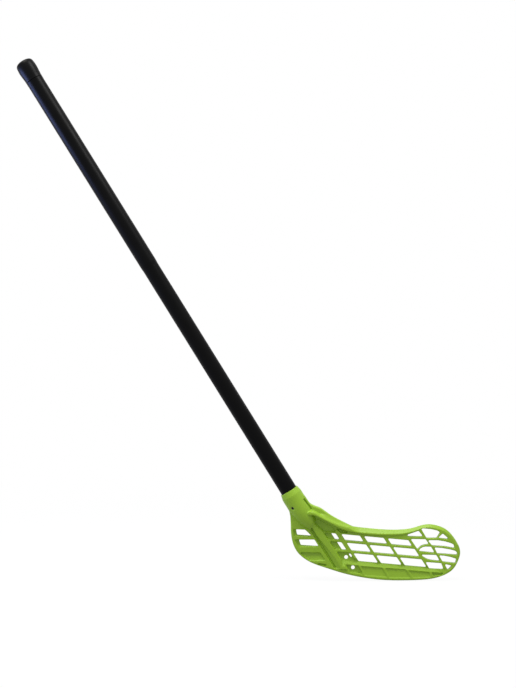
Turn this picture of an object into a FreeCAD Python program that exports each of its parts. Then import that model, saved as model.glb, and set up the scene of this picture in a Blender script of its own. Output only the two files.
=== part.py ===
import FreeCAD, Part
import math
import os

# Floorball stick in playing pose, millimetres, +Z up.
# The stick lies in the XZ plane with the blade's toe towards +X, and the origin is on the shaft's
# axis, in the middle of the hand grip.

# Shaft
shaft_lean = 31.8           # degrees from vertical
tube_diameter = 24.8
tube_wall = 1.6
tube_above_socket = 706.0   # from the blade's socket mouth to the tube's upper end
socket_depth = 44.0
grip_to_socket = 590.0      # from the hand's middle down to the socket mouth

# Grip sleeve
sleeve_wall = 0.35
sleeve_below_cap = 318.0    # from the tube's upper end down to the sleeve's lower edge
sleeve_feather = 5.0        # tapered stretch at the lower edge
sleeve_fit = 0.05           # radial

# End cap
cap_diameter = 28.0
cap_seam_diameter = 26.0
cap_seam_height = 6.0       # from the tube's upper end to the seam
cap_height = 33.0           # from the seam to the dome's end
cap_edge = 1.0              # bevel that makes the seam's groove
cap_plug_length = 30.0
cap_plug_wall = 3.0
cap_plug_fit = 0.1          # radial
cap_plug_chamfer = 1.5

# Blade
blade_length = 251.2        # heel to toe
blade_height = 82.6         # sole to the top of the toe
mouth_above_sole = 132.9
heel_beyond_mouth = 2.5     # the heel's back edge lies this far towards the toe
hook_depth = 10.0           # how far the toe bends back
rim_depth = 31.0            # top edge at the heel, front to back
rim_fin_depth = 17.0        # raised middle of the top edge at the heel
rim_round = 3.8
rim_low_round = 1.4
fin_round = 2.2
rim_slope_drop = 3.5        # how deep the slope between lip and fin reaches into the rim
groove_width = 9.5          # over which the groove's floor rises to the spine's face
grille_depth = 9.0
spine_depth = 13.0
web_depth = 2.6
rib_slant = 33.4            # degrees from vertical
rib_fall = 5.5              # degrees down towards the toe
rib_width = 3.6
top_rib_width = 4.8
small_rib_width = 8.0
window_corner = 0.9
toe_rib_trim = 0.45         # taken off each side of the toe's ribs
web_seat = 1.2              # how far the webs reach into the ribs round them
spine_ledge = 0.8           # from the spine's raised edge to the pockets beside it
sole_round = 1.8
hang_hole_diameter = 5.6

# Socket
socket_diameter = 31.4
socket_lip_wall = 1.3
socket_lip_taper = 8.0
socket_fit = 0.15           # radial
socket_tip = 24.0           # solid end below the tube
socket_dome = 38.0          # length of the rounded lower end

# Blade screws
screw_below_mouth = 24.0
screw_turn = 36.0           # degrees round the shaft from the front towards the heel
screw_head_diameter = 4.0
screw_head_height = 1.0
screw_shank_diameter = 2.2
screw_length = 6.0
screw_point = 1.5
screw_slot_width = 0.6
screw_slot_depth = 0.7
screw_fit = 0.1             # radial
screw_sink = 0.3            # head top below the spot face
spot_face_diameter = 7.0
spot_face_depth = 0.4

corner_share = 0.45         # most of a side that one rounded corner takes
overrun = 5.0               # how far cutting tools pass the surface they cut

# Hand-chosen outline points: shares of the blade's length from the heel and height from the sole.
edge_shares = [(0.458, 0.934), (0.554, 0.909), (0.649, 0.907), (0.720, 0.935), (0.768, 0.979),
               (0.815, 1.000), (0.863, 0.977), (0.911, 0.916), (0.958, 0.780), (0.988, 0.634),
               (1.000, 0.491), (0.988, 0.348), (0.958, 0.195), (0.911, 0.098), (0.839, 0.030),
               (0.744, 0.005), (0.649, 0.000), (0.554, 0.009), (0.411, 0.063), (0.292, 0.148),
               (0.196, 0.242), (0.125, 0.320), (0.077, 0.406), (0.042, 0.504), (0.018, 0.632),
               (0.005, 0.782), (0.001, 0.991)]
rim_end_share = (0.988, 0.634)
heel_shares = [(0.001, 0.991), (-0.002, 1.152), (-0.010, 1.268)]

# The top rim's lower edge, from the toe back to its nose on the socket.
rim_under_shares = [(0.968, 0.640), (0.940, 0.747), (0.900, 0.851), (0.860, 0.917), (0.815, 0.937),
                    (0.770, 0.919), (0.735, 0.880), (0.700, 0.842), (0.649, 0.812), (0.554, 0.803),
                    (0.458, 0.822), (0.363, 0.868), (0.292, 0.935), (0.220, 1.050), (0.165, 1.140),
                    (0.132, 1.182), (0.113, 1.187)]

# The top rim's nose, and its upper edge from there up to the blade's outer edge.
nose_share = (0.0985, 1.222)
lip_shares = [(0.111, 1.256), (0.128, 1.262), (0.147, 1.238), (0.167, 1.198), (0.209, 1.128),
              (0.262, 1.055), (0.321, 0.994), (0.385, 0.958)]

# The raised fin in the middle of the rim, along its top and back along its foot inside the rim.
fin_shares = [(0.060, 1.575), (0.091, 1.482), (0.118, 1.374), (0.140, 1.340), (0.173, 1.302),
              (0.220, 1.204), (0.292, 1.077), (0.363, 0.972), (0.440, 0.875)]
fin_foot_shares = [(0.440, 0.875), (0.292, 0.990), (0.165, 1.180), (0.110, 1.225), (0.060, 1.575)]

# The slope that fills the corner between the lip and the fin: its front edge and its back edge.
slope_low_shares = [(0.150, 1.212), (0.180, 1.166), (0.209, 1.120), (0.262, 1.048), (0.321, 0.986),
                    (0.400, 0.940)]
slope_high_shares = [(0.150, 1.217), (0.180, 1.212), (0.209, 1.200), (0.262, 1.116), (0.321, 1.022),
                     (0.400, 0.945)]
slope_depth_shares = (0.80, 0.30)

# Depth of the rim along the blade: place along the length and share of its depth at the heel.
rim_taper_shares = [(-0.120, 1.00), (0.100, 1.00), (0.200, 0.84), (0.320, 0.62), (0.500, 0.46),
                    (0.750, 0.34), (1.020, 0.26)]

# Where the grille ends inside the top rim, from the toe back to the socket.
grille_top_shares = [(0.978, 0.637), (0.950, 0.763), (0.906, 0.884), (0.862, 0.947), (0.815, 0.968),
                     (0.769, 0.949), (0.727, 0.907), (0.649, 0.860), (0.554, 0.856), (0.458, 0.872),
                     (0.363, 0.905), (0.292, 0.980), (0.220, 1.090), (0.160, 1.180), (0.100, 1.230)]

# Ribs: place of each slanted rib's middle along the blade, and of each long rib's middle in height.
slant_rib_shares = [0.352, 0.477, 0.608, 0.745]
long_rib_shares = [0.650, 0.475, 0.296]
rim_edge_share = 0.775
spine_edge_share = 0.268
small_window_share = 0.308
cross_height_share = 0.527
cross_length_share = 0.500

# Openings near the heel, each in the web of a wider recess.
heel_recess_shares = [
    [(0.015, 0.922), (0.084, 0.916), (0.124, 0.800), (0.021, 0.804)],
    [(0.024, 0.738), (0.139, 0.738), (0.165, 0.614), (0.048, 0.611)],
]
heel_window_shares = [
    [(0.031, 0.934), (0.084, 0.934), (0.134, 0.802), (0.038, 0.824)],
    [(0.047, 0.755), (0.139, 0.755), (0.174, 0.618), (0.060, 0.640)],
]
toe_window_shares = [
    [(0.690, 0.816), (0.752, 0.878), (0.777, 0.785), (0.690, 0.793)],
    [(0.769, 0.926), (0.827, 0.908), (0.863, 0.882), (0.879, 0.848), (0.860, 0.759), (0.802, 0.759)],
    [(0.871, 0.757), (0.896, 0.825), (0.930, 0.737)],
    [(0.709, 0.734), (0.793, 0.729), (0.812, 0.647), (0.786, 0.638), (0.768, 0.620), (0.755, 0.584),
     (0.748, 0.561)],
    [(0.811, 0.711), (0.868, 0.708), (0.909, 0.686), (0.943, 0.655), (0.960, 0.630), (0.966, 0.574),
     (0.913, 0.606), (0.835, 0.623)],
    [(0.756, 0.525), (0.764, 0.564), (0.779, 0.589), (0.795, 0.597), (0.826, 0.593), (0.846, 0.493)],
    [(0.849, 0.580), (0.895, 0.567), (0.940, 0.542), (0.968, 0.517), (0.980, 0.490), (0.981, 0.452),
     (0.922, 0.469), (0.865, 0.482)],
    [(0.771, 0.454), (0.857, 0.445), (0.876, 0.346), (0.827, 0.364), (0.804, 0.385), (0.786, 0.416)],
    [(0.877, 0.438), (0.909, 0.428), (0.945, 0.404), (0.976, 0.372), (0.971, 0.306), (0.897, 0.333)],
    [(0.797, 0.320), (0.887, 0.297), (0.899, 0.198), (0.818, 0.214)],
    [(0.910, 0.280), (0.949, 0.251), (0.927, 0.187)],
]
sliver_window_shares = [(0.340, 0.485), (0.352, 0.480), (0.363, 0.425), (0.353, 0.420)]
hang_hole_shares = [(0.326, 0.420), (0.366, 0.235)]

# Blind pockets, open to the front and the back with a thin web between.
pocket_shares = [
    [(0.119, 1.134), (0.155, 1.116), (0.238, 0.977), (0.271, 0.879), (0.196, 0.879)],
    [(0.256, 0.955), (0.363, 0.845), (0.292, 0.866)],
    [(0.051, 0.509), (0.173, 0.504), (0.205, 0.366), (0.110, 0.361)],
    [(0.152, 0.316), (0.208, 0.295), (0.211, 0.266), (0.167, 0.282)],
    [(0.412, 0.259), (0.538, 0.227), (0.567, 0.057), (0.434, 0.095)],
    [(0.554, 0.223), (0.676, 0.196), (0.704, 0.045), (0.580, 0.048)],
    [(0.692, 0.182), (0.816, 0.141), (0.821, 0.055), (0.719, 0.045)],
    [(0.830, 0.140), (0.905, 0.124), (0.889, 0.094), (0.838, 0.080)],
    [(0.324, 0.286), (0.396, 0.272), (0.423, 0.123), (0.351, 0.152)],
]
spine_left_shares = [(0.258, 0.225), (0.112, 0.930), (0.095, 1.130)]
spine_top_share = 0.800
spine_foot_share = 0.150
groove_shares = [(0.121, 0.925), (0.262, 0.402), (0.295, 0.214), (0.258, 0.225), (0.112, 0.912)]

# Derived places
lean_radians = math.radians(shaft_lean)
shaft_down = FreeCAD.Vector(math.sin(lean_radians), 0, -math.cos(lean_radians))
mouth = shaft_down * grip_to_socket
heel_x = mouth.x + heel_beyond_mouth
sole_z = mouth.z - mouth_above_sole
tube_radius = tube_diameter / 2
bore_radius = tube_radius + socket_fit
socket_radius = socket_diameter / 2
reach = blade_length + socket_diameter


def place(share):
    """World point in the blade's middle plane for a length and height share."""
    return FreeCAD.Vector(heel_x + share[0] * blade_length, 0, sole_z + share[1] * blade_height)


def along_shaft(shape):
    """Moves a shape built on the Z axis at the socket mouth into the leaning shaft's place."""
    turn = FreeCAD.Rotation(FreeCAD.Vector(0, 1, 0), -shaft_lean)
    return shape.transformed(FreeCAD.Placement(mouth, turn).toMatrix())


def turned(profile):
    """Solid of revolution about Z from (radius, height) points."""
    points = [FreeCAD.Vector(radius, 0, height) for radius, height in profile]
    face = Part.Face(Part.makePolygon(points + points[:1]))
    return face.revolve(FreeCAD.Vector(0, 0, 0), FreeCAD.Vector(0, 0, 1), 360)


def through_y(face):
    """Extrudes a face in the blade's plane to both sides, past everything on the blade."""
    shift = FreeCAD.Vector(0, socket_diameter, 0)
    return face.translated(-shift).extrude(shift * 2)


def curve(points):
    spline = Part.BSplineCurve()
    spline.interpolate(points)
    return spline


def longest_edges(shape, count):
    return sorted(shape.Edges, key=lambda edge: edge.Length)[-count:]


def by_height(edges):
    return sorted(edges, key=lambda edge: edge.CenterOfMass.z)


def flat_face(edges):
    return Part.Face(Part.Wire(Part.__sortEdges__(edges)))


def rounded_face(points, radius):
    """Face with its corners rounded, by no more than the sides beside a corner leave room for."""
    edges = []
    ends = []
    count = len(points)
    for index in range(count):
        corner = points[index]
        before = points[index - 1] - corner
        after = points[(index + 1) % count] - corner
        half = before.getAngle(after) / 2
        trim = min(radius / math.tan(half), before.Length * corner_share, after.Length * corner_share)
        before.normalize()
        after.normalize()
        fitted = trim * math.tan(half)
        start = corner + before * trim
        finish = corner + after * trim
        middle = corner + (before + after).normalize() * (fitted / math.sin(half) - fitted)
        ends.append((start, finish))
        edges.append(Part.Arc(start, middle, finish).toShape())
    for index in range(count):
        edges.append(Part.makeLine(ends[index - 1][1], ends[index][0]))
    return Part.Face(Part.Wire(Part.__sortEdges__(edges)))


def hook_y(x):
    """How far back the blade's middle lies, on an arc that starts along the blade before the heel."""
    run = blade_length + socket_diameter + overrun
    radius = (run ** 2 + hook_depth ** 2) / (2 * hook_depth)
    return radius - math.sqrt(radius ** 2 - (x - heel_x + socket_diameter) ** 2)


def plan_point(x, offset):
    return FreeCAD.Vector(x, hook_y(x) + offset, sole_z - reach)


def plan_line(offset):
    """Plan line from before the heel to past the toe, at a distance behind the blade's middle."""
    start_x = heel_x - socket_diameter
    end_x = heel_x + blade_length + overrun
    return Part.Arc(plan_point(start_x, offset), plan_point((start_x + end_x) / 2, offset),
                    plan_point(end_x, offset)).toShape()


def rim_line(offset):
    """Plan line that comes closer to the blade's middle towards the toe."""
    points = []
    for length_share, depth_share in rim_taper_shares:
        points.append(plan_point(heel_x + length_share * blade_length, offset * depth_share))
    return curve(points).toShape()


def taper(length_share):
    """Share of the rim's depth at a place along the blade."""
    for before, after in zip(rim_taper_shares, rim_taper_shares[1:]):
        if length_share <= after[0]:
            along = (length_share - before[0]) / (after[0] - before[0])
            return before[1] + along * (after[1] - before[1])
    return rim_taper_shares[-1][1]


def upright(front, back):
    """Upright slab between two plan lines."""
    heel = Part.makeLine(front.Vertexes[0].Point, back.Vertexes[0].Point)
    toe = Part.makeLine(front.Vertexes[-1].Point, back.Vertexes[-1].Point)
    return flat_face([front, toe, back, heel]).extrude(FreeCAD.Vector(0, 0, reach * 3))


def slab(depth):
    """Upright slab of one depth that follows the hook."""
    return upright(plan_line(-depth / 2), plan_line(depth / 2))


def rim_slab(depth):
    """Upright slab that follows the hook and thins towards the toe."""
    return upright(rim_line(-depth / 2), rim_line(depth / 2))


def rib_crossing(slant_share, slant_shift, long_share, long_shift):
    """Where a slanted line meets a long line, each moved by a distance square to itself."""
    slope = math.tan(math.radians(rib_slant))
    fall = math.tan(math.radians(rib_fall))
    middle = place((cross_length_share, cross_height_share))
    slant_x = place((slant_share, 0)).x + slant_shift / math.cos(math.radians(rib_slant))
    long_z = place((0, long_share)).z + long_shift / math.cos(math.radians(rib_fall))
    x = (slant_x + (middle.z - long_z - middle.x * fall) * slope) / (1 - fall * slope)
    z = long_z - (x - middle.x) * fall
    return FreeCAD.Vector(x, 0, z)


def cell(left, right, top, bottom):
    """Corners of a cell between two slanted and two long lines, each a share and a shift."""
    return [rib_crossing(*left, *top), rib_crossing(*right, *top),
            rib_crossing(*right, *bottom), rib_crossing(*left, *bottom)]


def grid_cells():
    """Windows between the slanted and the long ribs, row by row."""
    half = rib_width / 2
    cells = []
    tops = [(rim_edge_share, 0), (long_rib_shares[0], -half), (long_rib_shares[1], -half)]
    bottoms = [(share, half) for share in long_rib_shares]
    for row in range(len(tops)):
        side = top_rib_width / 2 if row == 0 else half
        for column in range(len(slant_rib_shares) - 1):
            left = (slant_rib_shares[column], side)
            right = (slant_rib_shares[column + 1], -side)
            cells.append(cell(left, right, tops[row], bottoms[row]))
    return cells


def small_cells():
    """The narrow pockets beside the spine, and the windows that open the webs of the upper two."""
    half = rib_width / 2
    small_half = small_rib_width / 2
    rights = [(slant_rib_shares[0], -width) for width in (small_half, small_half, half)]
    tops = [(rim_edge_share, 0), (long_rib_shares[0], -half), (long_rib_shares[1], -half)]
    bottoms = [(share, half) for share in long_rib_shares]
    pockets = []
    windows = []
    for top, bottom, right in zip(tops, bottoms, rights):
        pockets.append(cell((spine_edge_share, 0), right, top, bottom))
        past_right = (right[0], right[1] + web_seat)
        past_top = (top[0], top[1] + web_seat)
        past_bottom = (bottom[0], bottom[1] - web_seat)
        windows.append(cell((small_window_share, 0), past_right, past_top, past_bottom))
    return pockets, windows[:-1]


def edge_between(start_share, end_share):
    """Stretch of the blade's outer edge between two of its points."""
    edge = curve([place(share) for share in edge_shares])
    return edge.toShape(edge.parameter(place(start_share)), edge.parameter(place(end_share)))


def grille_outline():
    """Outline of the ribs and the sole, up to the middle of the top rim."""
    sole = edge_between(rim_end_share, edge_shares[-1])
    heel = Part.makePolygon([place(share) for share in heel_shares])
    top = curve([place(share) for share in grille_top_shares]).toShape()
    close = Part.makeLine(place(heel_shares[-1]), place(grille_top_shares[-1]))
    toe = Part.makeLine(place(rim_end_share), place(grille_top_shares[0]))
    return flat_face([sole, close, top, toe] + heel.Edges)


def top_rim():
    """Deep rounded top edge, from a nose on the socket round to the toe."""
    under = curve([place(share) for share in rim_under_shares]).toShape()
    nose = Part.Arc(place(rim_under_shares[-1]), place(nose_share), place(lip_shares[0])).toShape()
    edge = edge_shares[:edge_shares.index(rim_end_share) + 1]
    top = curve([place(share) for share in lip_shares + edge]).toShape()
    toe = Part.makeLine(place(rim_end_share), place(rim_under_shares[0]))
    rim = through_y(flat_face([under, nose, top, toe])).common(rim_slab(rim_depth)).Solids[0]
    rim = rim.makeFillet(rim_round, by_height(longest_edges(rim, 4))[2:])
    return rim.makeFillet(rim_low_round, by_height(longest_edges(rim, 6))[:2])


def rim_fin():
    """Raised middle of the rim, which runs up the socket's side."""
    top = curve([place(share) for share in fin_shares]).toShape()
    foot = Part.makePolygon([place(share) for share in fin_foot_shares])
    fin = through_y(flat_face([top] + foot.Edges)).common(rim_slab(rim_fin_depth)).Solids[0]
    return fin.makeFillet(fin_round, longest_edges(fin, 2))


def rim_slope(side):
    """Slope from the rim's lip up to its fin, on the front (-1) or the back (1)."""
    lines = []
    for shares, depth_share in zip((slope_low_shares, slope_high_shares), slope_depth_shares):
        points = []
        for share in shares:
            point = place(share)
            offset = side * depth_share * taper(share[0]) * rim_depth / 2
            points.append(point + FreeCAD.Vector(0, hook_y(point.x) + offset, 0))
        lines.append(curve(points).toShape())
    return Part.makeRuledSurface(lines[0], lines[1]).extrude(FreeCAD.Vector(0, 0, -rim_slope_drop))


def socket_body():
    """Round socket about the shaft, with a thin lip at its mouth and a domed lower end."""
    lip_radius = bore_radius + socket_lip_wall
    end = FreeCAD.Vector(0, 0, -(socket_depth + socket_tip))
    middle = end + FreeCAD.Vector(0, 0, socket_dome)
    side = middle + FreeCAD.Vector(socket_radius, 0, 0)
    dome = Part.ArcOfEllipse(Part.Ellipse(end, side, middle), 0, math.pi / 2).toShape()
    rest = [end, FreeCAD.Vector(0, 0, 0), FreeCAD.Vector(lip_radius, 0, 0),
            FreeCAD.Vector(socket_radius, 0, -socket_lip_taper), side]
    face = flat_face([dome] + Part.makePolygon(rest).Edges)
    return along_shaft(face.revolve(FreeCAD.Vector(0, 0, 0), FreeCAD.Vector(0, 0, 1), 360))


def screw_places():
    """Turns round the shaft of the front screw and of the one opposite it."""
    return [-90 - screw_turn, 90 - screw_turn]


def on_socket(shape, turn):
    """Moves a shape built along +X at the shaft's axis to a screw's place on the socket."""
    spin = FreeCAD.Rotation(FreeCAD.Vector(0, 0, 1), turn)
    spot = FreeCAD.Vector(0, 0, -screw_below_mouth)
    return along_shaft(shape.transformed(FreeCAD.Placement(spot, spin).toMatrix()))


def rod(radius, inner, outer):
    """Cylinder along +X between two distances from the shaft's axis."""
    return Part.makeCylinder(radius, outer - inner, FreeCAD.Vector(inner, 0, 0), FreeCAD.Vector(1, 0, 0))


spot_face = socket_radius - spot_face_depth
head_top = spot_face - screw_sink
head_seat = head_top - screw_head_height
screw_tip = head_seat - screw_length


def blade_screw_hole():
    shank = rod(screw_shank_diameter / 2 + screw_fit, 0, socket_radius + overrun)
    head = rod(screw_head_diameter / 2 + screw_fit, head_seat, socket_radius + overrun)
    spot = rod(spot_face_diameter / 2, spot_face, socket_radius + overrun)
    return shank.fuse([head, spot])


def spine_face():
    """Raised band beside the pockets, from the socket down to the sole."""
    edge = (spine_edge_share, -spine_ledge)
    right = [rib_crossing(*edge, spine_top_share, 0), rib_crossing(*edge, spine_foot_share, 0)]
    left = [place(share) for share in spine_left_shares]
    return rounded_face(right + left, window_corner)


def hang_hole(share):
    start = place(share) - FreeCAD.Vector(0, reach, 0)
    return Part.makeCylinder(hang_hole_diameter / 2, reach * 2, start, FreeCAD.Vector(0, 1, 0))


def blade_pockets():
    recesses, _ = small_cells()
    outlines = pocket_shares + heel_recess_shares + [groove_shares]
    recesses += [[place(share) for share in shares] for shares in outlines]
    return [rounded_face(corners, window_corner) for corners in recesses]


def toe_cells():
    """Corners of the windows near the toe, with the trim taken off the ribs round them."""
    cells = []
    for shares in toe_window_shares:
        outline = Part.makePolygon([place(share) for share in shares + shares[:1]])
        trimmed = outline.makeOffset2D(toe_rib_trim, join=2)
        cells.append([vertex.Point for vertex in trimmed.OrderedVertexes])
    return cells


def blade_windows():
    return [rounded_face(corners, window_corner) for corners in grid_cells() + toe_cells()]


def blade_grille():
    """Ribs and edge of the blade at one depth, with rounded outer edges."""
    plate = through_y(grille_outline()).common(slab(grille_depth))
    plate = plate.Solids[0].makeFillet(sole_round, longest_edges(plate, 2))
    return plate.cut([through_y(face) for face in blade_windows() + blade_pockets()])


def blade_webs():
    """Thin closed webs in the pockets, seated in the ribs round them."""
    _, small_windows = small_cells()
    outlines = heel_window_shares + [sliver_window_shares]
    openings = small_windows + [[place(share) for share in shares] for shares in outlines]
    cuts = [through_y(rounded_face(corners, window_corner)) for corners in openings]
    web = slab(web_depth)
    patches = [through_y(pocket.makeOffset2D(web_seat)) for pocket in blade_pockets()]
    return [patch.common(web).cut(cuts) for patch in patches]


def blade_spine():
    """Raised band with a groove beside it."""
    groove = rounded_face([place(share) for share in groove_shares], window_corner)
    return through_y(spine_face()).common(slab(spine_depth)).cut(through_y(groove))


def groove_ramp(side):
    """Floor of the spine's groove, which rises from the heel's side to the spine's face."""
    top, foot = place(groove_shares[-1]), place(groove_shares[-2])
    down = (foot - top).normalize()
    across = FreeCAD.Vector(-down.z, 0, down.x) * groove_width
    middle = top + FreeCAD.Vector(0, hook_y((top.x + foot.x) / 2), 0) - down * overrun
    low = FreeCAD.Vector(0, side * web_depth / 2, 0)
    high = FreeCAD.Vector(0, side * spine_depth / 2, 0)
    section = [middle, middle + low, middle + across + high, middle + across, middle]
    face = Part.Face(Part.makePolygon(section))
    groove = rounded_face([place(share) for share in groove_shares], window_corner)
    return face.extrude(down * reach).common(through_y(groove.makeOffset2D(web_seat)))


def make_blade():
    body = blade_grille().fuse(blade_webs() + [blade_spine(), top_rim(), rim_fin(), socket_body()])
    sides = (-1, 1)
    body = body.fuse([rim_slope(side) for side in sides] + [groove_ramp(side) for side in sides])
    body = body.cut([hang_hole(share) for share in hang_hole_shares])
    bore = Part.makeCylinder(bore_radius, socket_depth + overrun, FreeCAD.Vector(0, 0, -socket_depth))
    above = Part.makeCylinder(reach, reach)
    body = body.cut([along_shaft(bore), along_shaft(above)])
    body = body.cut([on_socket(blade_screw_hole(), turn) for turn in screw_places()])
    return body.removeSplitter()


def make_tube():
    inner = tube_radius - tube_wall
    tube = along_shaft(turned([(inner, -socket_depth), (tube_radius, -socket_depth),
                               (tube_radius, tube_above_socket), (inner, tube_above_socket)]))
    for turn in screw_places():
        hole = rod(screw_shank_diameter / 2 + screw_fit, 0, tube_radius + overrun)
        tube = tube.cut(on_socket(hole, turn))
    return tube


def make_sleeve():
    inner = tube_radius + sleeve_fit
    outer = inner + sleeve_wall
    low = tube_above_socket - sleeve_below_cap
    seam = tube_above_socket + cap_seam_height
    seam_radius = cap_seam_diameter / 2
    return along_shaft(turned([(inner, low), (outer, low + sleeve_feather), (outer, tube_above_socket),
                               (seam_radius, seam), (seam_radius - sleeve_wall, seam),
                               (inner, tube_above_socket)]))


def make_cap():
    """Domed knob on the tube's end, with a hollow plug that fits in the tube."""
    seam = tube_above_socket + cap_seam_height
    seam_radius = cap_seam_diameter / 2
    cap_radius = cap_diameter / 2
    cone_radius = seam_radius - sleeve_wall - sleeve_fit
    plug_radius = tube_radius - tube_wall - cap_plug_fit
    plug_bottom = tube_above_socket - cap_plug_length
    dome_shares = [(0.40, 0.990), (0.75, 0.980), (0.90, 0.870), (0.97, 0.600), (1.00, 0.000)]
    points = [FreeCAD.Vector(seam_radius, 0, seam + cap_edge)]
    for height_share, radius_share in dome_shares:
        points.append(FreeCAD.Vector(cap_radius * radius_share, 0, seam + cap_height * height_share))
    dome = curve(points).toShape()
    rest = [points[-1], FreeCAD.Vector(0, 0, tube_above_socket),
            FreeCAD.Vector(plug_radius - cap_plug_wall, 0, tube_above_socket),
            FreeCAD.Vector(plug_radius - cap_plug_wall, 0, plug_bottom),
            FreeCAD.Vector(plug_radius - cap_plug_chamfer, 0, plug_bottom),
            FreeCAD.Vector(plug_radius, 0, plug_bottom + cap_plug_chamfer),
            FreeCAD.Vector(plug_radius, 0, tube_above_socket),
            FreeCAD.Vector(tube_radius, 0, tube_above_socket),
            FreeCAD.Vector(cone_radius, 0, seam), FreeCAD.Vector(seam_radius - cap_edge, 0, seam), points[0]]
    face = flat_face([dome] + Part.makePolygon(rest).Edges)
    return along_shaft(face.revolve(FreeCAD.Vector(0, 0, 0), FreeCAD.Vector(0, 0, 1), 360))


def make_screw():
    head = rod(screw_head_diameter / 2, head_seat, head_top)
    shank = rod(screw_shank_diameter / 2, screw_tip + screw_point, head_seat)
    point = Part.makeCone(0, screw_shank_diameter / 2, screw_point, FreeCAD.Vector(screw_tip, 0, 0),
                          FreeCAD.Vector(1, 0, 0))
    screw = head.fuse([shank, point]).removeSplitter()
    for across, tall in [(screw_slot_width, screw_head_diameter), (screw_head_diameter, screw_slot_width)]:
        corner = FreeCAD.Vector(head_top - screw_slot_depth, -across / 2, -tall / 2)
        screw = screw.cut(Part.makeBox(screw_slot_depth + overrun, across, tall, corner))
    return screw


os.makedirs("parts", exist_ok=True)
make_blade().exportStep("parts/blade.step")
make_tube().exportStep("parts/shaft_tube.step")
make_sleeve().exportStep("parts/grip_sleeve.step")
make_cap().exportStep("parts/end_cap.step")
screws = [on_socket(make_screw(), turn) for turn in screw_places()]
Part.makeCompound(screws).exportStep("parts/blade_screws.step")
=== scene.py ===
import bpy
import bmesh
import math
from mathutils import Matrix, Vector


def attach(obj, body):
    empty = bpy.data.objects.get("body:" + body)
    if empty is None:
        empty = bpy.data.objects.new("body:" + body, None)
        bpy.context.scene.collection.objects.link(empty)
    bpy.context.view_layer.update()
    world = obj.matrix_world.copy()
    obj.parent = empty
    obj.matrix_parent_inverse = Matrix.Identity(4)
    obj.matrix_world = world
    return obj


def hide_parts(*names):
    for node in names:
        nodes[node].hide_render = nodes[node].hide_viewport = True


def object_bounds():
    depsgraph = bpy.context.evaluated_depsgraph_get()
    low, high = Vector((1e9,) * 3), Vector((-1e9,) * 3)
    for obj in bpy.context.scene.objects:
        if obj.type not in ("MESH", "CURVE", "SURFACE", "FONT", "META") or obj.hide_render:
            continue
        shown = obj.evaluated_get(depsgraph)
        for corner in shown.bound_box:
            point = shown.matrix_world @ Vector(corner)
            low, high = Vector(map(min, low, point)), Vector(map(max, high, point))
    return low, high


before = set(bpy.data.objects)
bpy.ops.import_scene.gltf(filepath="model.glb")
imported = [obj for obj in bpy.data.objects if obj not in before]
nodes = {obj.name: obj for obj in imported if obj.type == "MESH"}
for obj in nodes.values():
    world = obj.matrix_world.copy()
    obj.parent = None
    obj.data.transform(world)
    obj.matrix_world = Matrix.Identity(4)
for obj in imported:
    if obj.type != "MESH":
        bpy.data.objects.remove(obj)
cad_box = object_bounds()

# The shaft's place, in metres: it leans in the XZ plane and the origin is on its axis, in the grip.
shaft_lean = math.radians(31.8)
grip_to_socket = 0.590
shaft_up = Vector((-math.sin(shaft_lean), 0, math.cos(shaft_lean)))
shaft_turn = Matrix.Rotation(-shaft_lean, 4, "Y")

# The socket's mouth and bore, and the crisp rim that is turned on them.
socket_mouth = -grip_to_socket * shaft_up
socket_depth = 0.044
socket_bore = 0.01255
mouth_wall = 0.0013
mouth_bevel = 0.0003
mouth_spare = 0.002         # how far the turned tool passes the mouth
plug_steps = 96
lathe_steps = 128

# The blade's heel, its length and height, and its bend to the back, as in the part, in metres.
heel_beyond_mouth = 0.0025
mouth_above_sole = 0.1329
blade_heel = (socket_mouth.x + heel_beyond_mouth, socket_mouth.z - mouth_above_sole)
blade_size = (0.2512, 0.0826)
bend_start = 0.0314
bend_radius = 4.141

# Sloped faces of the moulding. Each is a row of places, and each place gives the slope's top and then
# its foot: shares of the blade's length and height, and the distance in front of the blade's middle.
lower_floors = [
    (0.404, 0.262, 0.0026, 0.428, 0.095, 0.0037), (0.546, 0.225, 0.0026, 0.573, 0.050, 0.0037),
    (0.684, 0.189, 0.0026, 0.711, 0.043, 0.0037), (0.818, 0.141, 0.0026, 0.826, 0.056, 0.0037)]
heel_floor = [
    (0.045, 0.515, 0.0013, 0.113, 0.359, 0.0030), (0.180, 0.510, 0.0013, 0.212, 0.355, 0.0030)]
edge_shoulder = [
    (0.150, 1.210, 0.0060, 0.150, 1.205, 0.0100), (0.175, 1.222, 0.0058, 0.175, 1.180, 0.0102),
    (0.205, 1.222, 0.0056, 0.205, 1.134, 0.0099), (0.240, 1.160, 0.0050, 0.240, 1.084, 0.0089),
    (0.292, 1.070, 0.0043, 0.292, 1.023, 0.0074), (0.345, 0.992, 0.0038, 0.345, 0.979, 0.0063)]
curve_steps = 6             # steps from one place to the next

# Bevel along the top edge towards the toe: place as shares of the blade's length and height, half of
# the edge's depth there, and how far the bevel reaches down it.
edge_bevels = [
    (0.325, 0.991, 0.0096, 0.0010), (0.385, 0.958, 0.0087, 0.0060), (0.458, 0.934, 0.0077, 0.0065),
    (0.554, 0.909, 0.0067, 0.0058), (0.649, 0.907, 0.0060, 0.0052), (0.720, 0.935, 0.0055, 0.0046),
    (0.768, 0.979, 0.0052, 0.0046), (0.815, 1.000, 0.0050, 0.0047), (0.863, 0.977, 0.0047, 0.0044),
    (0.911, 0.916, 0.0045, 0.0036), (0.958, 0.780, 0.0043, 0.0014)]
bevel_spare = 0.004         # how far the cutter passes the surface

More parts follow.
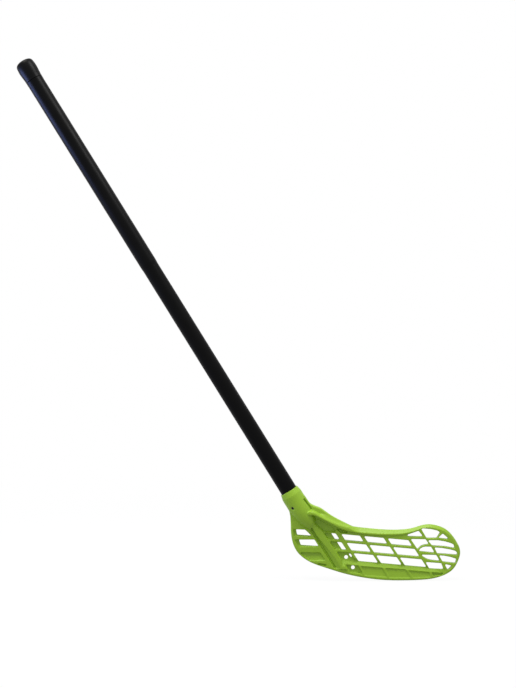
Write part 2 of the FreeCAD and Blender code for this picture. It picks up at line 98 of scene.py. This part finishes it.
# Folds beside the socket, in the groove along the spine and in the pocket above it: the ends of each
# as shares, half its width, and where its floor lies in front of the blade's middle.
folds = [((0.076, 1.470), (0.122, 1.284), 0.0009, 0.0066),
         ((0.122, 0.946), (0.261, 0.236), 0.0010, 0.0012),
         ((0.141, 1.062), (0.194, 0.908), 0.0012, 0.0012)]
fold_outer = 0.0160         # where the cutter ends, in front of the blade's middle

# Slope that leans the lower rib's upper edge back: places on the edge as shares, with how deep the
# slope cuts there, half of the rib's depth, how far the slope reaches below the edge, and its run-out
# above it.
rib_edge = [(0.300, 0.372, 0.0028), (0.850, 0.208, 0.0028), (0.915, 0.189, 0.0004)]
rib_half_depth = 0.0045
rib_slope_drop = 0.0050
rib_slope_rise = 0.0040

# How finely the blade's edges are softened, and the share of its faces that are kept after that.
blade_grain = 0.0005
blade_softness = 0.5
blade_soft_passes = 9
blade_kept_share = 0.30
blade_crease = math.radians(50)
mesh_merge = 1e-6
lathe_merge = 1e-7

# Depth of the fine grain on the moulded skin, in metres.
grain_depth = 0.0002

# The floor's middle under the stick, its half width and how far it lies below the sole.
floor_middle = (0.42, 0)
floor_half_width = 30
floor_gap = 0.0005

# The photo's height and the camera's focal length, in pixels, and the camera's place in metres.
photo_height = 688
photo_focus = 1400
camera_place = (0.2653, -2.065, -0.2853)


def shaft_place(height):
    """Matrix for a shape on the Z axis, at a height above the socket's mouth along the shaft."""
    return Matrix.Translation(socket_mouth + height * shaft_up) @ shaft_turn


def new_object(name, shape):
    """Object with the mesh of a finished shape, which is freed."""
    mesh = bpy.data.meshes.new(name)
    shape.to_mesh(mesh)
    shape.free()
    piece = bpy.data.objects.new(name, mesh)
    bpy.context.scene.collection.objects.link(piece)
    return piece


def settled(piece):
    """Replaces a piece's mesh by what its modifiers make of it, and takes them off."""
    graph = bpy.context.evaluated_depsgraph_get()
    mesh = bpy.data.meshes.new_from_object(piece.evaluated_get(graph))
    piece.modifiers.clear()
    old = piece.data
    piece.data = mesh
    bpy.data.meshes.remove(old)


def bore_plug(shape, radius, bottom, top):
    """Cylinder on the shaft's axis between two heights above the socket's mouth."""
    bmesh.ops.create_cone(shape, cap_ends=True, segments=plug_steps, radius1=radius, radius2=radius,
                          depth=top - bottom, matrix=shaft_place((top + bottom) / 2))


def lathe(name, profile):
    """Closed body turned about the shaft's axis from (radius, height above the mouth) points."""
    shape = bmesh.new()
    points = [shape.verts.new((radius, 0, height)) for radius, height in profile]
    edges = [shape.edges.new(pair) for pair in zip(points, points[1:])]
    bmesh.ops.spin(shape, geom=points + edges, cent=(0, 0, 0), axis=(0, 0, 1), dvec=(0, 0, 0),
                   angle=2 * math.pi, steps=lathe_steps, use_merge=True, use_duplicate=False)
    bmesh.ops.remove_doubles(shape, verts=shape.verts, dist=lathe_merge)
    bmesh.ops.recalc_face_normals(shape, faces=shape.faces)
    bmesh.ops.transform(shape, matrix=shaft_place(0), verts=shape.verts)
    return new_object(name, shape)


def blade_point(share, offset):
    """Point of the blade for a length and height share, at a distance behind its middle."""
    x = blade_heel[0] + share[0] * blade_size[0]
    along_bend = share[0] * blade_size[0] + bend_start
    bend = bend_radius - math.sqrt(bend_radius ** 2 - along_bend ** 2)
    return Vector((x, bend + offset, blade_heel[1] + share[1] * blade_size[1]))


def closed_strip(shape, rings):
    """Closed body through rings of points, one after the other."""
    rings = [[shape.verts.new(point) for point in ring] for ring in rings]
    faces = [shape.faces.new(rings[0]), shape.faces.new(rings[-1])]
    for ring, after in zip(rings, rings[1:]):
        for index in range(len(ring)):
            corners = (ring[index - 1], ring[index], after[index], after[index - 1])
            faces.append(shape.faces.new(corners))
    bmesh.ops.recalc_face_normals(shape, faces=faces)


def smooth_rows(rows):
    """Rows of numbers with more of them in between, on a smooth curve through each number."""
    last = len(rows) - 1
    filled = []
    for index in range(last):
        ends = [rows[max(index - 1, 0)], rows[index], rows[index + 1], rows[min(index + 2, last)]]
        for step in range(curve_steps):
            t = step / curve_steps
            filled.append([((2 * b) + (c - a) * t + (2 * a - 5 * b + 4 * c - d) * t ** 2
                            + (3 * b - a - 3 * c + d) * t ** 3) / 2 for a, b, c, d in zip(*ends)])
    return filled + [rows[-1]]


def sloped_face(shape, places):
    """Wedge with the same slope on the front and on the back of the blade."""
    rings = []
    for top_x, top_z, top_half, foot_x, foot_z, foot_half in smooth_rows(places):
        top, foot = (top_x, top_z), (foot_x, foot_z)
        rings.append([blade_point(top, -top_half), blade_point(foot, -foot_half),
                      blade_point(foot, foot_half), blade_point(top, top_half)])
    closed_strip(shape, rings)


def edge_bevel(shape, side):
    """Cutter that takes the corner off the top edge, on the front (-1) or the back (1)."""
    out = Vector((0, side, 0))
    rings = []
    rows = smooth_rows(edge_bevels)
    for index, (along, height, half, size) in enumerate(rows):
        before = rows[max(index - 1, 0)]
        after = rows[min(index + 1, len(rows) - 1)]
        run = blade_point(after[:2], 0) - blade_point(before[:2], 0)
        inward = Vector((run.z, 0, -run.x)).normalized()
        edge = blade_point((along, height), 0)
        slope = (out + inward).normalized() * bevel_spare
        rings.append([edge + out * (half - size) - slope,
                      edge + inward * size + out * half + slope,
                      edge + out * half + (out - inward) * bevel_spare])
    closed_strip(shape, rings)


def narrow_fold(shape, fold, side):
    """Cutter for one of the folds, on the front (-1) or the back (1)."""
    start, end, half_width, depth = fold
    across = Vector((math.cos(shaft_lean), 0, math.sin(shaft_lean))) * half_width
    rings = []
    for share in (start, end):
        floor, outer = blade_point(share, side * depth), blade_point(share, side * fold_outer)
        rings.append([floor - across, floor + across, outer + across, outer - across])
    closed_strip(shape, rings)


def rib_slope(shape, side):
    """Cutter that leans the lower rib's upper edge back, on the front (-1) or the back (1).

    It reaches as far out of the rib's face as it cuts into it, so its slopes go on for twice their length.
    """
    up, out = Vector((0, 0, 1)), Vector((0, side, 0))
    rings = []
    for along, height, cut in rib_edge:
        edge = blade_point((along, height), side * rib_half_depth)
        rings.append([edge - out * cut, edge - up * rib_slope_drop * 2 + out * cut,
                      edge + up * rib_slope_rise * 2 + out * cut])
    closed_strip(shape, rings)


def moulding_cutter():
    """All that is cut out of the blade's front and back, in one tool."""
    shape = bmesh.new()
    for side in (-1, 1):
        edge_bevel(shape, side)
        rib_slope(shape, side)
        for fold in folds:
            narrow_fold(shape, fold, side)
    return new_object("moulding_cutter", shape)


def cut_away(piece, tool):
    """Takes a closed tool out of a piece, and removes the tool."""
    cut = piece.modifiers.new("cut", "BOOLEAN")
    cut.operation = "DIFFERENCE"
    cut.solver = "EXACT"
    cut.object = tool
    settled(piece)
    bpy.data.objects.remove(tool)


def even_out(piece):
    """Gives a piece one skin, with faces of the same size everywhere."""
    remesh = piece.modifiers.new("remesh", "REMESH")
    remesh.mode = "VOXEL"
    remesh.voxel_size = blade_grain
    settled(piece)


def blade_moulding():
    """The blade as it leaves the mould, with every edge a little rounded and a crisp socket mouth."""
    rim = socket_bore + mouth_wall
    shape = bmesh.new()
    shape.from_mesh(nodes["blade"].data)
    bmesh.ops.remove_doubles(shape, verts=shape.verts, dist=mesh_merge)
    bore_plug(shape, rim, -socket_depth - blade_grain, mouth_spare)
    for places in (lower_floors, heel_floor, edge_shoulder):
        sloped_face(shape, places)
    piece = new_object("blade_moulding", shape)
    even_out(piece)
    cut_away(piece, moulding_cutter())
    even_out(piece)

    soften = piece.modifiers.new("soften", "SMOOTH")
    soften.factor = blade_softness
    soften.iterations = blade_soft_passes
    thin = piece.modifiers.new("thin", "DECIMATE")
    thin.ratio = blade_kept_share
    settled(piece)

    cut_away(piece, lathe("socket_bore", [
        (0, -socket_depth), (socket_bore, -socket_depth), (socket_bore, -mouth_bevel),
        (socket_bore + mouth_bevel, 0), (rim - mouth_bevel, 0),
        (rim + mouth_spare, -mouth_bevel - mouth_spare), (rim + mouth_spare, mouth_spare * 2),
        (0, mouth_spare * 2)]))
    piece.data.shade_smooth()
    piece.data.set_sharp_from_angle(angle=blade_crease)
    return piece


def new_material(name):
    """Material with a Principled shader; returns both."""
    material = bpy.data.materials.new(name)
    material.use_nodes = True
    tree = material.node_tree
    tree.nodes.clear()
    output = tree.nodes.new("ShaderNodeOutputMaterial")
    shader = tree.nodes.new("ShaderNodeBsdfPrincipled")
    tree.links.new(shader.outputs["BSDF"], output.inputs["Surface"])
    return material, shader


def moulded_skin_group():
    """Plastic fresh from a mould: patchy colour, uneven gloss and a fine grain."""
    group = bpy.data.node_groups.new("moulded_skin", "ShaderNodeTree")
    sockets = group.interface
    sockets.new_socket("Dark", in_out="INPUT", socket_type="NodeSocketColor")
    sockets.new_socket("Light", in_out="INPUT", socket_type="NodeSocketColor")
    sockets.new_socket("Patches", in_out="INPUT", socket_type="NodeSocketFloat")
    sockets.new_socket("Grain", in_out="INPUT", socket_type="NodeSocketFloat")
    sockets.new_socket("Smoothest", in_out="INPUT", socket_type="NodeSocketFloat")
    sockets.new_socket("Roughest", in_out="INPUT", socket_type="NodeSocketFloat")
    sockets.new_socket("Color", in_out="OUTPUT", socket_type="NodeSocketColor")
    sockets.new_socket("Roughness", in_out="OUTPUT", socket_type="NodeSocketFloat")
    sockets.new_socket("Height", in_out="OUTPUT", socket_type="NodeSocketFloat")
    inlet = group.nodes.new("NodeGroupInput")
    outlet = group.nodes.new("NodeGroupOutput")
    place = group.nodes.new("ShaderNodeTexCoord")
    patches = group.nodes.new("ShaderNodeTexNoise")
    patches.inputs["Detail"].default_value = 4
    grain = group.nodes.new("ShaderNodeTexNoise")
    grain.inputs["Detail"].default_value = 2
    tint = group.nodes.new("ShaderNodeMix")
    tint.data_type = "RGBA"
    gloss = group.nodes.new("ShaderNodeMapRange")
    gloss.inputs["From Min"].default_value = 0.3
    gloss.inputs["From Max"].default_value = 0.7
    link = group.links.new
    link(place.outputs["Object"], patches.inputs["Vector"])
    link(place.outputs["Object"], grain.inputs["Vector"])
    link(inlet.outputs["Patches"], patches.inputs["Scale"])
    link(inlet.outputs["Grain"], grain.inputs["Scale"])
    link(patches.outputs["Fac"], tint.inputs["Factor"])
    link(inlet.outputs["Dark"], tint.inputs["A"])
    link(inlet.outputs["Light"], tint.inputs["B"])
    link(patches.outputs["Fac"], gloss.inputs["Value"])
    link(inlet.outputs["Smoothest"], gloss.inputs["To Min"])
    link(inlet.outputs["Roughest"], gloss.inputs["To Max"])
    link(tint.outputs["Result"], outlet.inputs["Color"])
    link(gloss.outputs["Result"], outlet.inputs["Roughness"])
    link(grain.outputs["Fac"], outlet.inputs["Height"])
    return group


moulded_skin = moulded_skin_group()


def moulded_material(name, dark, light, patches, grain, smoothest, roughest, relief, specular):
    """Material that wears the moulded skin with its own colours, scales and gloss."""
    material, shader = new_material(name)
    tree = material.node_tree
    skin = tree.nodes.new("ShaderNodeGroup")
    skin.node_tree = moulded_skin
    skin.inputs["Dark"].default_value = (*dark, 1)
    skin.inputs["Light"].default_value = (*light, 1)
    skin.inputs["Patches"].default_value = patches
    skin.inputs["Grain"].default_value = grain
    skin.inputs["Smoothest"].default_value = smoothest
    skin.inputs["Roughest"].default_value = roughest
    bump = tree.nodes.new("ShaderNodeBump")
    bump.inputs["Strength"].default_value = relief
    bump.inputs["Distance"].default_value = grain_depth
    tree.links.new(skin.outputs["Color"], shader.inputs["Base Color"])
    tree.links.new(skin.outputs["Roughness"], shader.inputs["Roughness"])
    tree.links.new(skin.outputs["Height"], bump.inputs["Height"])
    tree.links.new(bump.outputs["Normal"], shader.inputs["Normal"])
    shader.inputs["Specular IOR Level"].default_value = specular
    return material


def dress(piece, material):
    """Gives a piece one material and no other."""
    piece.data.materials.clear()
    piece.data.materials.append(material)


green_plastic = moulded_material(
    "green_plastic", dark=(0.262, 0.455, 0.016), light=(0.298, 0.510, 0.024), patches=18, grain=1400,
    smoothest=0.38, roughest=0.48, relief=0.10, specular=0.44)
shaft_black = moulded_material(
    "shaft_black", dark=(0.0014, 0.0014, 0.0015), light=(0.0022, 0.0022, 0.0024), patches=30, grain=1800,
    smoothest=0.36, roughest=0.44, relief=0.08, specular=0.065)
grip_black = moulded_material(
    "grip_black", dark=(0.0016, 0.0016, 0.0017), light=(0.0024, 0.0024, 0.0026), patches=40, grain=1100,
    smoothest=0.32, roughest=0.42, relief=0.20, specular=0.065)
cap_black = moulded_material(
    "cap_black", dark=(0.0018, 0.0018, 0.0019), light=(0.0028, 0.0028, 0.0030), patches=40, grain=1500,
    smoothest=0.34, roughest=0.44, relief=0.12, specular=0.08)
screw_dark = moulded_material(
    "screw_dark", dark=(0.020, 0.020, 0.021), light=(0.035, 0.035, 0.037), patches=300, grain=2600,
    smoothest=0.30, roughest=0.45, relief=0.20, specular=0.50)
screw_dark.node_tree.nodes["Principled BSDF"].inputs["Metallic"].default_value = 1.0

blade = blade_moulding()
dress(blade, green_plastic)
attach(blade, "root")
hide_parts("blade")
dress(nodes["shaft_tube"], shaft_black)
dress(nodes["grip_sleeve"], grip_black)
dress(nodes["end_cap"], cap_black)
dress(nodes["blade_screws"], screw_dark)


def white_for_the_eye(tree):
    """1 for rays from the camera, mirrors and glass, 0 for the light that falls on the object."""
    path = tree.nodes.new("ShaderNodeLightPath")
    either = tree.nodes.new("ShaderNodeMath")
    either.operation = "MAXIMUM"
    seen = tree.nodes.new("ShaderNodeMath")
    seen.operation = "MAXIMUM"
    tree.links.new(path.outputs["Is Camera Ray"], either.inputs[0])
    tree.links.new(path.outputs["Is Glossy Ray"], either.inputs[1])
    tree.links.new(either.outputs["Value"], seen.inputs[0])
    tree.links.new(path.outputs["Is Transmission Ray"], seen.inputs[1])
    return seen.outputs["Value"]


def studio_world():
    """Even light from all round, which the eye sees as plain white."""
    world = bpy.data.worlds.new("studio")
    bpy.context.scene.world = world
    world.use_nodes = True
    tree = world.node_tree
    tree.nodes.clear()
    output = tree.nodes.new("ShaderNodeOutputWorld")
    fill = tree.nodes.new("ShaderNodeBackground")
    fill.inputs["Color"].default_value = (0.98, 0.99, 1.0, 1)
    fill.inputs["Strength"].default_value = 0.66
    white = tree.nodes.new("ShaderNodeBackground")
    white.inputs["Color"].default_value = (1, 1, 1, 1)
    white.inputs["Strength"].default_value = 1.0
    mix = tree.nodes.new("ShaderNodeMixShader")
    tree.links.new(white_for_the_eye(tree), mix.inputs["Fac"])
    tree.links.new(fill.outputs["Background"], mix.inputs[1])
    tree.links.new(white.outputs["Background"], mix.inputs[2])
    tree.links.new(mix.outputs["Shader"], output.inputs["Surface"])


def studio_floor():
    """Pale floor under the sole, white to the eye but for the object's soft shadow close by."""
    shape = bmesh.new()
    bmesh.ops.create_grid(shape, x_segments=1, y_segments=1, size=floor_half_width)
    floor = new_object("floor", shape)
    floor.location = (*floor_middle, cad_box[0].z - floor_gap)
    material, shader = new_material("floor_pale")
    shader.inputs["Roughness"].default_value = 0.9
    tree = material.node_tree
    link = tree.links.new
    path = tree.nodes.new("ShaderNodeLightPath")
    tone = tree.nodes.new("ShaderNodeMix")
    tone.data_type = "RGBA"
    tone.inputs["A"].default_value = (0.24, 0.24, 0.24, 1)
    tone.inputs["B"].default_value = (0.86, 0.86, 0.86, 1)
    link(path.outputs["Is Camera Ray"], tone.inputs["Factor"])
    link(tone.outputs["Result"], shader.inputs["Base Color"])
    spot = tree.nodes.new("ShaderNodeTexCoord")
    away = tree.nodes.new("ShaderNodeVectorMath")
    away.operation = "LENGTH"
    fade = tree.nodes.new("ShaderNodeMapRange")
    fade.interpolation_type = "SMOOTHSTEP"
    fade.inputs["From Min"].default_value = 0.3
    fade.inputs["From Max"].default_value = 1.6
    fade.inputs["To Min"].default_value = 0.93
    fade.inputs["To Max"].default_value = 1.0
    link(spot.outputs["Object"], away.inputs[0])
    link(away.outputs["Value"], fade.inputs["Value"])
    glow = tree.nodes.new("ShaderNodeEmission")
    glow.inputs["Color"].default_value = (1, 1, 1, 1)
    glow.inputs["Strength"].default_value = 1.0
    share = tree.nodes.new("ShaderNodeMath")
    share.operation = "MULTIPLY"
    mix = tree.nodes.new("ShaderNodeMixShader")
    output = tree.nodes["Material Output"]
    link(white_for_the_eye(tree), share.inputs[0])
    link(fade.outputs["Result"], share.inputs[1])
    link(share.outputs["Value"], mix.inputs["Fac"])
    link(shader.outputs["BSDF"], mix.inputs[1])
    link(glow.outputs["Emission"], mix.inputs[2])
    link(mix.outputs["Shader"], output.inputs["Surface"])
    dress(floor, material)


def soft_light(name, place, target, width, height, watts, colour):
    """Rectangular lamp that looks from a place at a target."""
    data = bpy.data.lights.new(name, "AREA")
    data.shape = "RECTANGLE"
    data.size = width
    data.size_y = height
    data.energy = watts
    data.color = colour
    lamp = bpy.data.objects.new(name, data)
    lamp.location = place
    lamp.rotation_euler = (Vector(target) - Vector(place)).to_track_quat("-Z", "Y").to_euler()
    bpy.context.scene.collection.objects.link(lamp)


def photo_camera():
    """Looks straight at the stick's flat side, as in the photo."""
    data = bpy.data.cameras.new("photo_camera")
    data.sensor_fit = "VERTICAL"
    data.sensor_height = 24
    data.lens = photo_focus * data.sensor_height / photo_height
    camera = bpy.data.objects.new("photo_camera", data)
    camera.location = camera_place
    camera.rotation_euler = (math.radians(90), 0, 0)
    bpy.context.scene.collection.objects.link(camera)
    bpy.context.scene.camera = camera


studio_world()
studio_floor()
soft_light("top_light", place=(-0.35, -0.40, 1.25), target=(0.42, 0, -0.55), width=1.2, height=0.8,
           watts=21, colour=(1.0, 0.97, 0.88))
soft_light("right_light", place=(0.63, -0.36, 0.81), target=(-0.066, 0, 0.097), width=0.5, height=0.50,
           watts=9, colour=(1.0, 1.0, 1.0))
soft_light("left_light", place=(-0.722, -0.07, -0.16), target=(-0.129, 0, 0.208), width=0.56, height=0.12,
           watts=7.5, colour=(0.30, 0.40, 1.0))
photo_camera()
bpy.context.scene.view_settings.view_transform = "Standard"
